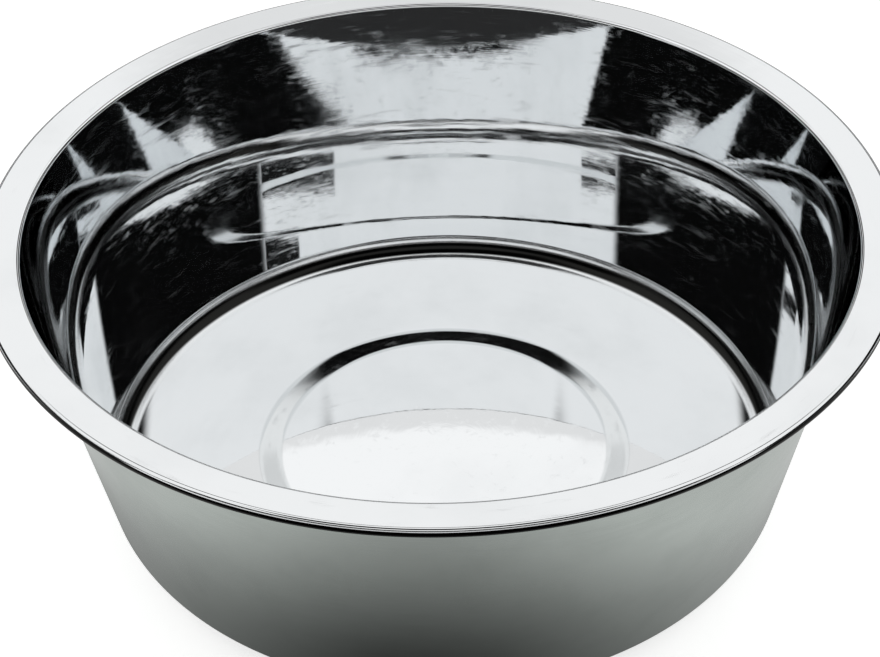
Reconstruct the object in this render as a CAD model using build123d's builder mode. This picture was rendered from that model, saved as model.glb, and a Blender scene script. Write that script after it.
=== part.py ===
# Stainless steel dog bowl: a deep-drawn shell with a rolled rim and a pressed foot,
# standing on a rubber ring. Millimetres, +Z up, origin on the floor under the bowl's middle.
from build123d import *
from math import radians, tan
import os

# Shell: one sheet, drawn to a straight tapered wall and a flat floor.
sheet_thickness = 0.6
rim_diameter = 210.0
bowl_depth = 71.0
wall_angle = 10.9
corner_radius = 5.5

# Rim: the wall turns outwards over a lip, rises a little, rolls down and tucks back in below.
rim_width = 9.0
rim_rise = 0.8
lip_radius = 1.0
roll_radius = 1.1
roll_flat = 0.2
tuck_length = 3.2

# Foot: a shallow round panel pressed down in the middle of the floor.
foot_diameter = 83.0
foot_depth = 0.45
foot_slope = 6.0
foot_bend_radius = 12.0

# Rubber ring: bonded to the floor's underside, round the pressed foot.
ring_height = 4.4
ring_width = 18.0
ring_edge_radius = 1.2
ring_clearance = 0.4

# Heights of the floor's two faces, the lip and the rim, above the surface that the bowl stands on.
floor_underside = ring_height
floor_top = floor_underside + sheet_thickness
lip_top = floor_top + bowl_depth
rim_top = lip_top + rim_rise

# Radii along the sheet's food side, taken at the sharp corners before they are rounded.
foot_radius = foot_diameter / 2
step_radius = foot_radius + foot_depth / tan(radians(foot_slope))
rim_radius = rim_diameter / 2
lip_corner = rim_radius - rim_width
floor_corner = lip_corner - bowl_depth * tan(radians(wall_angle))
roll_bottom = rim_top - 2 * roll_radius - roll_flat
tuck_end = rim_radius - roll_radius - tuck_length

# The ring starts where the floor is flat again, past the bend at the top of the foot's step.
step_bend_length = foot_bend_radius * tan(radians(foot_slope / 2))
ring_inner_radius = step_radius + step_bend_length + ring_clearance

with BuildPart() as bowl_shell:
    with BuildSketch(Plane.XZ):
        with BuildLine():
            FilletPolyline(
                (0, floor_top - foot_depth),
                (foot_radius, floor_top - foot_depth),
                (step_radius, floor_top),
                (floor_corner, floor_top),
                (lip_corner, lip_top),
                (rim_radius, rim_top),
                (rim_radius, roll_bottom),
                (tuck_end, roll_bottom),
                radius=[
                    foot_bend_radius,
                    foot_bend_radius,
                    corner_radius,
                    lip_radius,
                    roll_radius,
                    roll_radius,
                ],
            )
            offset(amount=sheet_thickness, side=Side.RIGHT)
        make_face()
    revolve(axis=Axis.Z)

with BuildPart() as non_slip_ring:
    with BuildSketch(Plane.XZ) as ring_section:
        with Locations((ring_inner_radius, 0)):
            Rectangle(ring_width, ring_height, align=(Align.MIN, Align.MIN))
        fillet(ring_section.vertices().group_by(Axis.Y)[0], ring_edge_radius)
    revolve(axis=Axis.Z)

os.makedirs("parts", exist_ok=True)
for name, piece in (("bowl_shell", bowl_shell.part), ("non_slip_ring", non_slip_ring.part)):
    piece.label = name
    export_step(piece, f"parts/{name}.step")
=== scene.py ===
import bpy
import math
from mathutils import Matrix, Vector


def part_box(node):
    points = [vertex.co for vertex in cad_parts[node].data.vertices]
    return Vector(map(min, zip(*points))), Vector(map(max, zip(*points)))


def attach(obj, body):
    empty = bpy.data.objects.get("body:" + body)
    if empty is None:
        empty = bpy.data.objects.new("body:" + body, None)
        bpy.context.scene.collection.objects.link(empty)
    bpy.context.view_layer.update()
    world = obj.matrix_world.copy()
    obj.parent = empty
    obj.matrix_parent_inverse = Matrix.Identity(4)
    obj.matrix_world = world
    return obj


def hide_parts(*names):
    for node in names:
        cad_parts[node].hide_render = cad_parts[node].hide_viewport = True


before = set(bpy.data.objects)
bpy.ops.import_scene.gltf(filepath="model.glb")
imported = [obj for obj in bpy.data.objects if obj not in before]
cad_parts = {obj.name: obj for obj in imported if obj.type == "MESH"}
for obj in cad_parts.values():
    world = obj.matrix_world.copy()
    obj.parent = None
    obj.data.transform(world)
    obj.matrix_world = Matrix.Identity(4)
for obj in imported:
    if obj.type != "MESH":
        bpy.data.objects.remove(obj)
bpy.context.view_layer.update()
scene = bpy.context.scene
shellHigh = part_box("bowl_shell")[1]
rimRadius = shellHigh[0]
lipDrop = 0.0007  # the lip lies a little lower than the rolled edge
lipTop = shellHigh[2] - lipDrop
print("frame loaded: rim radius", round(rimRadius, 4), "lip height", round(lipTop, 4))


# camera, as the photograph was taken: angles in degrees, distance in lip radii, the lens and places in pixels
photoCamera = {
    "elevation": 35.58,
    "distance": 5.0,
    "lipShare": 0.922,  # radius of the rim's inner edge over its outer edge
    "focalLength": 2097.0,
    "middleColumn": 441.8,
    "rimCentreRow": 214.3,
    "roll": -1.16,
    "imageWidth": 880,
    "imageHeight": 657,
    "sensorWidth": 36.0,  # millimetres
    "clip": (0.01, 50.0),  # metres
}


def makeCamera(c):
    lens = bpy.data.cameras.new("photoCamera")
    lens.sensor_fit = "HORIZONTAL"
    lens.sensor_width = c["sensorWidth"]
    lens.lens = c["focalLength"] * c["sensorWidth"] / c["imageWidth"]
    lens.shift_x = 0.5 - c["middleColumn"] / c["imageWidth"]
    lens.clip_start, lens.clip_end = c["clip"]
    camera = bpy.data.objects.new("photoCamera", lens)
    scene.collection.objects.link(camera)
    elevation = math.radians(c["elevation"])
    reach = c["distance"] * c["lipShare"] * rimRadius
    spot = Vector((0, -reach * math.cos(elevation), lipTop + reach * math.sin(elevation)))
    # the rim's centre sits above the middle row, so the camera points a little lower
    pitch = elevation - math.atan((c["rimCentreRow"] - c["imageHeight"] / 2) / c["focalLength"])
    roll = math.radians(c["roll"])
    ahead = Vector((0, math.cos(pitch), -math.sin(pitch)))
    up = Vector((0, math.sin(pitch), math.cos(pitch)))
    right = Vector((1, 0, 0))
    rolledRight = right * math.cos(roll) + up * math.sin(roll)
    rolledUp = up * math.cos(roll) - right * math.sin(roll)
    turn = Matrix((rolledRight, rolledUp, -ahead)).transposed()
    camera.matrix_world = Matrix.Translation(spot) @ turn.to_4x4()
    scene.camera = camera


makeCamera(photoCamera)
print("camera placed")


# node helpers
def put(tree, value, socket):
    if isinstance(value, bpy.types.NodeSocket):
        tree.links.new(value, socket)
    else:
        socket.default_value = value


def calc(tree, operation, a, b=None):
    node = tree.nodes.new("ShaderNodeMath")
    node.operation = operation
    put(tree, a, node.inputs[0])
    if b is not None:
        put(tree, b, node.inputs[1])
    return node.outputs[0]


def times(tree, result, *others):
    for other in others:
        result = calc(tree, "MULTIPLY", result, other)
    return result


def largest(tree, result, *others):
    for other in others:
        result = calc(tree, "MAXIMUM", result, other)
    return result


def fade(tree, value, low, high, atLow=0.0, atHigh=1.0):
    node = tree.nodes.new("ShaderNodeMapRange")
    node.interpolation_type = "SMOOTHSTEP"
    put(tree, value, node.inputs["Value"])
    put(tree, low, node.inputs["From Min"])
    put(tree, high, node.inputs["From Max"])
    put(tree, atLow, node.inputs["To Min"])
    put(tree, atHigh, node.inputs["To Max"])
    return node.outputs["Result"]


def between(tree, value, start, full, end, stay):
    # nothing below start or above end, all of it from full to stay
    return times(tree, fade(tree, value, start, full), fade(tree, value, end, stay))


def strip(tree, value, low, high, soft):
    # all of it from low to high, with both edges softened
    return between(tree, value, low - soft, low + soft, high + soft, high - soft)


def noise(tree, vector, scale, detail, roughness):
    node = tree.nodes.new("ShaderNodeTexNoise")
    put(tree, vector, node.inputs["Vector"])
    put(tree, scale, node.inputs["Scale"])
    node.inputs["Detail"].default_value = detail
    node.inputs["Roughness"].default_value = roughness
    return node.outputs["Fac"]


def fromAxis(tree):
    # place on the piece, and its distance from the bowl's axis
    coord = tree.nodes.new("ShaderNodeTexCoord")
    split = tree.nodes.new("ShaderNodeSeparateXYZ")
    tree.links.new(coord.outputs["Object"], split.inputs[0])
    spot = split.outputs
    squares = [times(tree, spot[axis], spot[axis]) for axis in "XY"]
    return spot, calc(tree, "SQRT", calc(tree, "ADD", *squares))


def newMaterial(name):
    material = bpy.data.materials.new(name)
    material.use_nodes = True
    return material, material.node_tree, material.node_tree.nodes["Principled BSDF"]


def shadeBetween(tree, mask, clean, worn):
    node = tree.nodes.new("ShaderNodeMix")
    node.data_type = "RGBA"
    tree.links.new(mask, node.inputs["Factor"])
    put(tree, (*clean, 1) if isinstance(clean, tuple) else clean, node.inputs["A"])
    node.inputs["B"].default_value = (*worn, 1)
    return node.outputs["Result"]


# studio light: a white tent round the bowl with a dark opening in front and darker parts under it, a dark
# band low behind that a bright card stands in, two dark bars overhead, small dark cards at the sides, and a
# bright panel in a dimmer area behind; angles in degrees, and a pair says where a soft edge starts and ends
studio = {
    "white": 0.98,
    "dark": 0.003,
    "lowDark": 0.028,
    "lowDarkBelow": (15.5, 14.5),
    "background": 0.95,
    "openingFrom": (104.0, 112.0),
    "openingLow": (33.35, 34.12),  # height of the lower edge at its sides and in the middle
    "openingBend": (110.0, 172.0),
    "openingEdge": (-0.12, 0.15),
    "openingHigh": (54.5, 52.0),
    "underFrom": (100.0, 108.0),
    "underHeight": (23.5, 25.5, 31.2, 30.4),
    "underLow": (9.0, 7.0),
    "bandTop": 32.6,
    "bandEnds": (28.0, 31.0),  # top of the band far to the left and far to the right
    "bandMiddle": (-1.0, 1.0),
    "bandBend": (25.0, 70.0),
    "bandEdge": (0.5, -0.5),
    "bandWidth": (112.0, 104.0),
    "cardLow": (15.6, 16.6),
    "cardTop": (23.7, 23.1),
    "cardBow": 0.0018,  # drop of the card's top edge per square degree of heading
    "farBar": (46.5, 48.5, 58.0, 56.0),
    "nearBar": (81.0, 85.0, 111.0, 109.0),
    "barSide": (0.42, 0.30),  # half width on the unit sphere
    "darkCards": (  # left, right, low and high edges
        (-108.0, -62.0, 33.3, 34.75),
        (86.0, 108.0, 33.9, 34.75),
        (-108.0, -86.0, 36.2, 37.6),
    ),
    "darkCardSoft": (1.0, 0.1),  # across and upright
    "darkCardDepth": 0.95,
    "dimWidth": (17.0, 12.0),
    "dimHeight": (38.0, 39.5, 50.0, 47.0),
    "dimWhite": 0.83,
    "panelWidth": (6.5, 5.8),
    "panelHeight": (41.2, 41.6, 46.5, 45.5),
    "panelBow": 0.0108,  # rise of the panel's edges per square degree of heading
    "panelWhite": 1.03,
}


def darkParts(tree, s, height, turn, heading, over, side):
    lowEdge = fade(tree, heading, *s["openingBend"], *s["openingLow"])
    opening = fade(tree, calc(tree, "SUBTRACT", height, lowEdge), *s["openingEdge"])
    highEdge = fade(tree, height, *s["openingHigh"])
    opening = times(tree, opening, highEdge, fade(tree, heading, *s["openingFrom"]))
    under = largest(tree, between(tree, height, *s["underHeight"]), fade(tree, height, *s["underLow"]))
    under = times(tree, under, fade(tree, heading, *s["underFrom"]))
    bandEnd = fade(tree, turn, *s["bandMiddle"], *s["bandEnds"])
    bandTop = fade(tree, heading, *s["bandBend"], s["bandTop"], bandEnd)
    band = fade(tree, calc(tree, "SUBTRACT", height, bandTop), *s["bandEdge"])
    bowed = calc(tree, "ADD", height, times(tree, heading, heading, s["cardBow"]))
    card = times(tree, fade(tree, height, *s["cardLow"]), fade(tree, bowed, *s["cardTop"]))
    band = times(tree, band, fade(tree, heading, *s["bandWidth"]), calc(tree, "SUBTRACT", 1.0, card))
    bars = calc(tree, "ADD", between(tree, over, *s["farBar"]), between(tree, over, *s["nearBar"]))
    bars = times(tree, bars, fade(tree, side, *s["barSide"]))
    shade = largest(tree, opening, under, band, bars)
    softAcross, softUpright = s["darkCardSoft"]
    for left, right, low, high in s["darkCards"]:
        across = strip(tree, turn, left, right, softAcross)
        upright = strip(tree, height, low, high, softUpright)
        shade = largest(tree, shade, times(tree, across, upright, s["darkCardDepth"]))
    return shade


def whiteParts(tree, s, height, heading):
    arched = calc(tree, "SUBTRACT", height, times(tree, heading, heading, s["panelBow"]))
    panel = times(tree, fade(tree, heading, *s["panelWidth"]), between(tree, arched, *s["panelHeight"]))
    dim = times(tree, fade(tree, heading, *s["dimWidth"]), between(tree, height, *s["dimHeight"]))
    tent = fade(tree, dim, 0.0, 1.0, s["white"], s["dimWhite"])
    return fade(tree, panel, 0.0, 1.0, tent, s["panelWhite"])


def makeStudio(s):
    world = bpy.data.worlds.new("studio")
    scene.world = world
    world.use_nodes = True
    tree = world.node_tree
    tree.nodes.clear()
    coord = tree.nodes.new("ShaderNodeTexCoord")
    split = tree.nodes.new("ShaderNodeSeparateXYZ")
    tree.links.new(coord.outputs["Generated"], split.inputs[0])
    x, y, z = split.outputs
    height = calc(tree, "DEGREES", calc(tree, "ARCSINE", z))
    turn = calc(tree, "DEGREES", calc(tree, "ARCTAN2", x, y))
    heading = calc(tree, "ABSOLUTE", turn)
    over = calc(tree, "DEGREES", calc(tree, "ARCTAN2", z, y))
    side = calc(tree, "ABSOLUTE", x)
    shade = darkParts(tree, s, height, turn, heading, over, side)
    white = whiteParts(tree, s, height, heading)
    dark = fade(tree, height, *s["lowDarkBelow"], s["dark"], s["lowDark"])
    light = tree.nodes.new("ShaderNodeBackground")
    tree.links.new(fade(tree, shade, 0.0, 1.0, white, dark), light.inputs["Strength"])
    seen = tree.nodes.new("ShaderNodeBackground")
    seen.inputs["Strength"].default_value = s["background"]
    for node in (light, seen):
        node.inputs["Color"].default_value = (1, 1, 1, 1)
    path = tree.nodes.new("ShaderNodeLightPath")
    mix = tree.nodes.new("ShaderNodeMixShader")
    tree.links.new(path.outputs["Is Camera Ray"], mix.inputs["Fac"])
    tree.links.new(light.outputs[0], mix.inputs[1])
    tree.links.new(seen.outputs[0], mix.inputs[2])
    out = tree.nodes.new("ShaderNodeOutputWorld")
    tree.links.new(mix.outputs[0], out.inputs["Surface"])


makeStudio(studio)
scene.view_settings.view_transform = "Standard"

# floor: pale paper; the steel sees it as a glowing grey field, a painted shadow darker close to the bowl and
# in front and painted light lighter to the sides and behind; in metres
floor = {
    "size": 4.0,
    "paper": (0.93, 0.93, 0.92),
    "roughness": 0.8,
    "lift": 0.69,
    "greyNear": 0.035,
    "greyFar": 0.55,
    "greyReach": (0.088, 0.15),
    "sideMiddle": -0.008,
    "sideReach": 0.14,
    "sideMost": 0.58,
    "backReach": (-0.02, 0.08),
    "backLift": 0.4,
    "frontReach": (-0.158, -0.134),
    "frontShare": 0.06,
}


def makeFloor(f):
    half = f["size"] / 2
    mesh = bpy.data.meshes.new("floor")
    corners = [(-half, -half, 0), (half, -half, 0), (half, half, 0), (-half, half, 0)]
    mesh.from_pydata(corners, [], [(0, 1, 2, 3)])
    sheet = bpy.data.objects.new("floor", mesh)
    scene.collection.objects.link(sheet)
    material, tree, shader = newMaterial("palePaper")
    path = tree.nodes.new("ShaderNodeLightPath")
    spot, away = fromAxis(tree)
    grey = fade(tree, away, *f["greyReach"], f["greyNear"], f["greyFar"])
    aside = calc(tree, "DIVIDE", calc(tree, "SUBTRACT", spot["X"], f["sideMiddle"]), f["sideReach"])
    grey = calc(tree, "ADD", grey, times(tree, aside, aside))
    grey = calc(tree, "MINIMUM", grey, f["sideMost"])
    grey = calc(tree, "ADD", grey, fade(tree, spot["Y"], *f["backReach"], 0.0, f["backLift"]))
    grey = times(tree, grey, fade(tree, spot["Y"], *f["frontReach"], f["frontShare"], 1.0))
    # painted shadow and light: the floor glows grey only for the steel's reflections, and its own colour is
    # black to them
    glow = times(tree, path.outputs["Is Glossy Ray"], grey)
    glow = calc(tree, "ADD", glow, times(tree, path.outputs["Is Camera Ray"], f["lift"]))
    paper = shadeBetween(tree, path.outputs["Is Glossy Ray"], f["paper"], (0, 0, 0))
    tree.links.new(paper, shader.inputs["Base Color"])
    shader.inputs["Roughness"].default_value = f["roughness"]
    shader.inputs["Specular IOR Level"].default_value = 0.0
    shader.inputs["Emission Color"].default_value = (1, 1, 1, 1)
    tree.links.new(glow, shader.inputs["Emission Strength"])
    mesh.materials.append(material)


makeFloor(floor)
print("studio ready")


# shared effects
def newGroup(name, inputs, output):
    group = bpy.data.node_groups.new(name, "ShaderNodeTree")
    for label, default in inputs.items():
        socket = group.interface.new_socket(name=label, in_out="INPUT", socket_type="NodeSocketFloat")
        socket.default_value = default
    group.interface.new_socket(name=output, in_out="OUTPUT", socket_type="NodeSocketFloat")
    start = group.nodes.new("NodeGroupInput")
    end = group.nodes.new("NodeGroupOutput")
    return group, start.outputs, end.inputs[output]


def makeSpinLines():
    # rings left by polishing or brushing on a spinning bowl: close together across, long round it
    group, given, lines = newGroup("spinLines", {"Spacing": 700.0, "Length": 3.0}, "Lines")
    spot, reach = fromAxis(group)
    leastReach = 0.001  # keeps the division safe at the axis
    safe = calc(group, "MAXIMUM", reach, leastReach)
    join = group.nodes.new("ShaderNodeCombineXYZ")
    for axis in "XY":
        share = calc(group, "DIVIDE", spot[axis], safe)
        group.links.new(times(group, share, given["Length"]), join.inputs[axis])
    along = calc(group, "ADD", reach, spot["Z"])
    group.links.new(times(group, along, given["Spacing"]), join.inputs["Z"])
    group.links.new(noise(group, join.outputs[0], scale=1.0, detail=3.0, roughness=0.6), lines)
    return group


def makeHandling():
    # soft smudges and dull patches from washing and wiping
    group, given, mask = newGroup("handling", {"Size": 25.0, "Cover": 0.5}, "Mask")
    coord = group.nodes.new("ShaderNodeTexCoord")
    cloud = noise(group, coord.outputs["Object"], given["Size"], detail=4.0, roughness=0.6)
    edge = calc(group, "SUBTRACT", 1.0, given["Cover"])
    soft = 0.12
    low = calc(group, "SUBTRACT", edge, soft)
    high = calc(group, "ADD", edge, soft)
    group.links.new(fade(group, cloud, low, high), mask)
    return group


def makeSway():
    # slow waves that pressing leaves in thin sheet
    group, given, height = newGroup("sway", {"Size": 30.0, "Stretch": 0.5}, "Height")
    coord = group.nodes.new("ShaderNodeTexCoord")
    scale = group.nodes.new("ShaderNodeCombineXYZ")
    scale.inputs[0].default_value = 1.0
    scale.inputs[1].default_value = 1.0
    group.links.new(given["Stretch"], scale.inputs[2])
    squeeze = group.nodes.new("ShaderNodeVectorMath")
    squeeze.operation = "MULTIPLY"
    group.links.new(coord.outputs["Object"], squeeze.inputs[0])
    group.links.new(scale.outputs[0], squeeze.inputs[1])
    group.links.new(noise(group, squeeze.outputs[0], given["Size"], detail=1.0, roughness=0.4), height)
    return group


def makeRingZone():
    # a zone round the bowl, outside a radius and below a height, that can fade out in front: the rougher
    # corner bend, which a polishing wheel hardly reaches, the painted shade lines in the bend and under the
    # rolled edge, or the foot's step with its painted shade
    inputs = {"Inside": 0.0775, "Top": 0.0095, "Soft": 0.001, "Front": -1.0, "FrontSoft": 0.03}
    group, given, mask = newGroup("ringZone", inputs, "Mask")
    spot, reach = fromAxis(group)
    outward = fade(group, reach, given["Inside"], calc(group, "ADD", given["Inside"], given["Soft"]))
    low = fade(group, spot["Z"], given["Top"], calc(group, "SUBTRACT", given["Top"], given["Soft"]))
    backFrom = calc(group, "ADD", given["Front"], given["FrontSoft"])
    behind = fade(group, spot["Y"], given["Front"], backFrom)
    group.links.new(times(group, outward, low, behind), mask)
    return group


spinLines = makeSpinLines()
handling = makeHandling()
sway = makeSway()
ringZone = makeRingZone()


def place(tree, group, values):
    node = tree.nodes.new("ShaderNodeGroup")
    node.node_tree = group
    for name, value in values.items():
        node.inputs[name].default_value = value
    return node.outputs[0]


def bump(tree, height, distance, under=None):
    node = tree.nodes.new("ShaderNodeBump")
    node.inputs["Strength"].default_value = 1.0
    node.inputs["Distance"].default_value = distance
    tree.links.new(height, node.inputs["Height"])
    if under is not None:
        tree.links.new(under, node.inputs["Normal"])
    return node.outputs["Normal"]


# inside and rim: polished like a mirror, with faint rings from the polishing wheel; rougher in the corner
# bend and on the foot's step, with painted shade on the step and painted shade lines in the far part of the
# bend and under the rolled edge; zones and depths in metres
mirrorSteel = {
    "clean": (0.868, 0.884, 0.894),
    "dull": (0.828, 0.845, 0.855),
    "smudges": {"Size": 22.0, "Cover": 0.42},
    "roughness": (0.012, 0.035),
    "lines": {"Spacing": 900.0, "Length": 2.5},
    "lineDepth": 0.0000012,
    "waves": {"Size": 28.0, "Stretch": 0.6},
    "waveDepth": 0.00001,
    "ripples": {"Size": 170.0, "Stretch": 1.4},
    "rippleDepth": 0.0000045,
    "streaks": {"Spacing": 420.0, "Length": 7.0},
    "streakFrom": (0.52, 0.78),
    "streakRoughness": 0.10,
    "bend": {"Inside": 0.0772, "Top": 0.0100, "Soft": 0.0015},
    "bendRoughness": 0.16,
    # painted shade: dark lines in the far part of the corner bend and round the underside of the rolled edge
    "bendShadeLine": {"Inside": 0.0795, "Top": 0.0079, "Soft": 0.0008, "Front": -0.055},
    "rollShadeLine": {"Inside": 0.1041, "Top": 0.0762, "Soft": 0.0001},
    "shadeLineColour": (0.018, 0.018, 0.017),
    "step": {"Inside": 0.0403, "Top": 0.02, "Soft": 0.0008},
    "pastStep": {"Inside": 0.0461, "Top": 0.02, "Soft": 0.0008},
    # painted shade: the foot's step is darkened so its reflections sink to the level round it
    "paintedStepShade": (0.715, 0.74, 0.75),
    "stepRoughness": 0.05,
}


def makeMirrorSteel(m):
    material, tree, shader = newMaterial("mirrorSteel")
    smudge = place(tree, handling, m["smudges"])
    bend = place(tree, ringZone, m["bend"])
    # painted shade lines in the far part of the corner bend and under the rolled edge
    line = largest(tree, place(tree, ringZone, m["bendShadeLine"]), place(tree, ringZone, m["rollShadeLine"]))
    step = calc(tree, "SUBTRACT", place(tree, ringZone, m["step"]), place(tree, ringZone, m["pastStep"]))
    colour = shadeBetween(tree, smudge, m["clean"], m["dull"])
    # painted shade on the foot's step
    colour = shadeBetween(tree, step, colour, m["paintedStepShade"])
    # paints the shade lines dark
    colour = shadeBetween(tree, line, colour, m["shadeLineColour"])
    tree.links.new(colour, shader.inputs["Base Color"])
    shader.inputs["Metallic"].default_value = 1.0
    rough = fade(tree, smudge, 0.0, 1.0, *m["roughness"])
    rough = calc(tree, "ADD", rough, times(tree, bend, m["bendRoughness"]))
    rough = calc(tree, "ADD", rough, times(tree, step, m["stepRoughness"]))
    streaks = place(tree, spinLines, m["streaks"])
    rough = calc(tree, "ADD", rough, fade(tree, streaks, *m["streakFrom"], 0.0, m["streakRoughness"]))
    tree.links.new(rough, shader.inputs["Roughness"])
    normal = bump(tree, place(tree, sway, m["waves"]), m["waveDepth"])
    normal = bump(tree, place(tree, sway, m["ripples"]), m["rippleDepth"], normal)
    normal = bump(tree, place(tree, spinLines, m["lines"]), m["lineDepth"], normal)
    tree.links.new(normal, shader.inputs["Normal"])
    return material


# outside: brushed to a satin finish, round the bowl
satinSteel = {
    "clean": (0.70, 0.76, 0.718),
    "dull": (0.65, 0.708, 0.668),
    "smudges": {"Size": 30.0, "Cover": 0.45},
    "lines": {"Spacing": 1600.0, "Length": 5.0},
    "lineDepth": 0.0000035,
    "roughFrom": (0.3, 0.7),
    "roughness": (0.18, 0.26),
    "waves": {"Size": 20.0, "Stretch": 0.8},
    "waveDepth": 0.000004,
}


def makeSatinSteel(m):
    material, tree, shader = newMaterial("satinSteel")
    smudge = place(tree, handling, m["smudges"])
    lines = place(tree, spinLines, m["lines"])
    tree.links.new(shadeBetween(tree, smudge, m["clean"], m["dull"]), shader.inputs["Base Color"])
    shader.inputs["Metallic"].default_value = 1.0
    tree.links.new(fade(tree, lines, *m["roughFrom"], *m["roughness"]), shader.inputs["Roughness"])
    normal = bump(tree, place(tree, sway, m["waves"]), m["waveDepth"])
    normal = bump(tree, lines, m["lineDepth"], normal)
    tree.links.new(normal, shader.inputs["Normal"])
    return material


# rubber ring: matt black with a fine moulded grain and a little grey dust
blackRubber = {
    "clean": (0.018, 0.018, 0.019),
    "dusty": (0.06, 0.058, 0.055),
    "dust": {"Size": 60.0, "Cover": 0.38},
    "roughFrom": (0.3, 0.7),
    "roughness": (0.55, 0.78),
    "grainSize": 2600.0,
    "grainDepth": 0.00006,
}


def makeBlackRubber(m):
    material, tree, shader = newMaterial("blackRubber")
    dust = place(tree, handling, m["dust"])
    coord = tree.nodes.new("ShaderNodeTexCoord")
    grain = noise(tree, coord.outputs["Object"], m["grainSize"], detail=2.0, roughness=0.5)
    tree.links.new(shadeBetween(tree, dust, m["clean"], m["dusty"]), shader.inputs["Base Color"])
    tree.links.new(fade(tree, grain, *m["roughFrom"], *m["roughness"]), shader.inputs["Roughness"])
    tree.links.new(bump(tree, grain, m["grainDepth"]), shader.inputs["Normal"])
    return material


finishes = {
    "mirror": makeMirrorSteel(mirrorSteel),
    "satin": makeSatinSteel(satinSteel),
    "rubber": makeBlackRubber(blackRubber),
}
print("finishes ready:", ", ".join(finishes))

# bowl shell: one sheet, drawn and rolled; sizes in millimetres and degrees, as in the solid
shellForm = {
    "sheet": 0.6,
    "rimDiameter": 210.0,
    "depth": 71.0,
    "wallAngle": 10.9,
    "cornerRadius": 5.5,
    "rimWidth": 9.0,
    "rimRise": 0.8,
    "lipRadius": 1.0,
    "rollRadius": 1.1,
    "rollFlat": 0.2,
    "tuckLength": 3.2,
    "footDiameter": 83.0,
    "footDepth": 0.45,
    "footSlope": 6.0,
    "footBend": 12.0,
    "ringHeight": 4.4,
    "segments": 384,
    "arcStep": 2.5,  # degrees between points on a bend
    "arcLeast": 3,  # steps on the smallest bend
}


def shellCorners(f):
    floorTop = f["ringHeight"] + f["sheet"]
    lipHeight = floorTop + f["depth"]
    top = lipHeight + f["rimRise"]
    foot = f["footDiameter"] / 2
    step = foot + f["footDepth"] / math.tan(math.radians(f["footSlope"]))
    rim = f["rimDiameter"] / 2
    lip = rim - f["rimWidth"]
    corner = lip - f["depth"] * math.tan(math.radians(f["wallAngle"]))
    rollBottom = top - 2 * f["rollRadius"] - f["rollFlat"]
    corners = [
        (0, floorTop - f["footDepth"]),
        (foot, floorTop - f["footDepth"]),
        (step, floorTop),
        (corner, floorTop),
        (lip, lipHeight),
        (rim, top),
        (rim, rollBottom),
        (rim - f["rollRadius"] - f["tuckLength"], rollBottom),
    ]
    bends = [f["footBend"]] * 2 + [f["cornerRadius"], f["lipRadius"]] + [f["rollRadius"]] * 2
    return [Vector(c) for c in corners], bends


def leftOf(way):
    return Vector((-way.y, way.x))


def roundedLine(corners, bends, arcStep, arcLeast):
    # points along the sheet's food side with the direction each one faces
    line = [(corners[0], leftOf((corners[1] - corners[0]).normalized()))]
    for before, here, after, radius in zip(corners, corners[1:], corners[2:], bends):
        goIn = (here - before).normalized()
        goOut = (after - here).normalized()
        faceIn = leftOf(goIn)
        turn = math.atan2(goIn.x * goOut.y - goIn.y * goOut.x, goIn.dot(goOut))
        start = here - goIn * radius * math.tan(abs(turn) / 2)
        side = 1 if turn > 0 else -1
        centre = start + faceIn * radius * side
        count = max(arcLeast, round(abs(math.degrees(turn)) / arcStep))
        for k in range(count + 1):
            c, s = math.cos(turn * k / count), math.sin(turn * k / count)
            face = Vector((faceIn.x * c - faceIn.y * s, faceIn.x * s + faceIn.y * c))
            line.append((centre - face * radius * side, face))
    line.append((corners[-1], leftOf((corners[-1] - corners[-2]).normalized())))
    return line


def spin(strips, segments, name):
    # each strip is (points with facing, material number); a facing is kept for every point
    perMetre = 1000  # millimetres
    nearAxis = 1e-9
    verts, faces, facing, numbers = [], [], [], []
    angles = [2 * math.pi * k / segments for k in range(segments)]
    turns = [(math.cos(a), math.sin(a)) for a in angles]
    for points, number in strips:
        rings = []
        for p, n in points:
            if p.x < nearAxis:
                rings.append([len(verts)] * segments)
                verts.append((0, 0, p.y / perMetre))
                facing.append((0, 0, n.y))
                continue
            rings.append(list(range(len(verts), len(verts) + segments)))
            for c, s in turns:
                verts.append((p.x * c / perMetre, p.x * s / perMetre, p.y / perMetre))
                facing.append((n.x * c, n.x * s, n.y))
        for low, high in zip(rings, rings[1:]):
            for k in range(segments):
                j = (k + 1) % segments
                # a point on the axis counts once
                corners = dict.fromkeys((low[k], high[k], high[j], low[j]))
                faces.append(tuple(corners))
                numbers.append(number)
    mesh = bpy.data.meshes.new(name)
    mesh.from_pydata(verts, [], faces)
    mesh.polygons.foreach_set("material_index", numbers)
    mesh.polygons.foreach_set("use_smooth", [True] * len(faces))
    mesh.update()
    mesh.normals_split_custom_set_from_vertices(facing)
    piece = bpy.data.objects.new(name, mesh)
    scene.collection.objects.link(piece)
    return piece


def makeShell(f):
    food = roundedLine(*shellCorners(f), f["arcStep"], f["arcLeast"])
    back = [(p - n * f["sheet"], -n) for p, n in food]
    back.reverse()
    edgeFace = -leftOf(food[-1][1])
    edge = [(food[-1][0], edgeFace), (back[0][0], edgeFace)]
    piece = spin([(food, 0), (edge, 1), (back, 1)], f["segments"], "bowlShell")
    piece.data.materials.append(finishes["mirror"])
    piece.data.materials.append(finishes["satin"])
    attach(piece, "root")
    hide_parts("bowl_shell")
    return piece


bowlShell = makeShell(shellForm)
print("bowl shell made:", len(bowlShell.data.vertices), "points")

# rubber ring: the solid's own shape is right
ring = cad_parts["non_slip_ring"]
ring.data.materials.clear()
ring.data.materials.append(finishes["rubber"])
print("rubber ring finished")
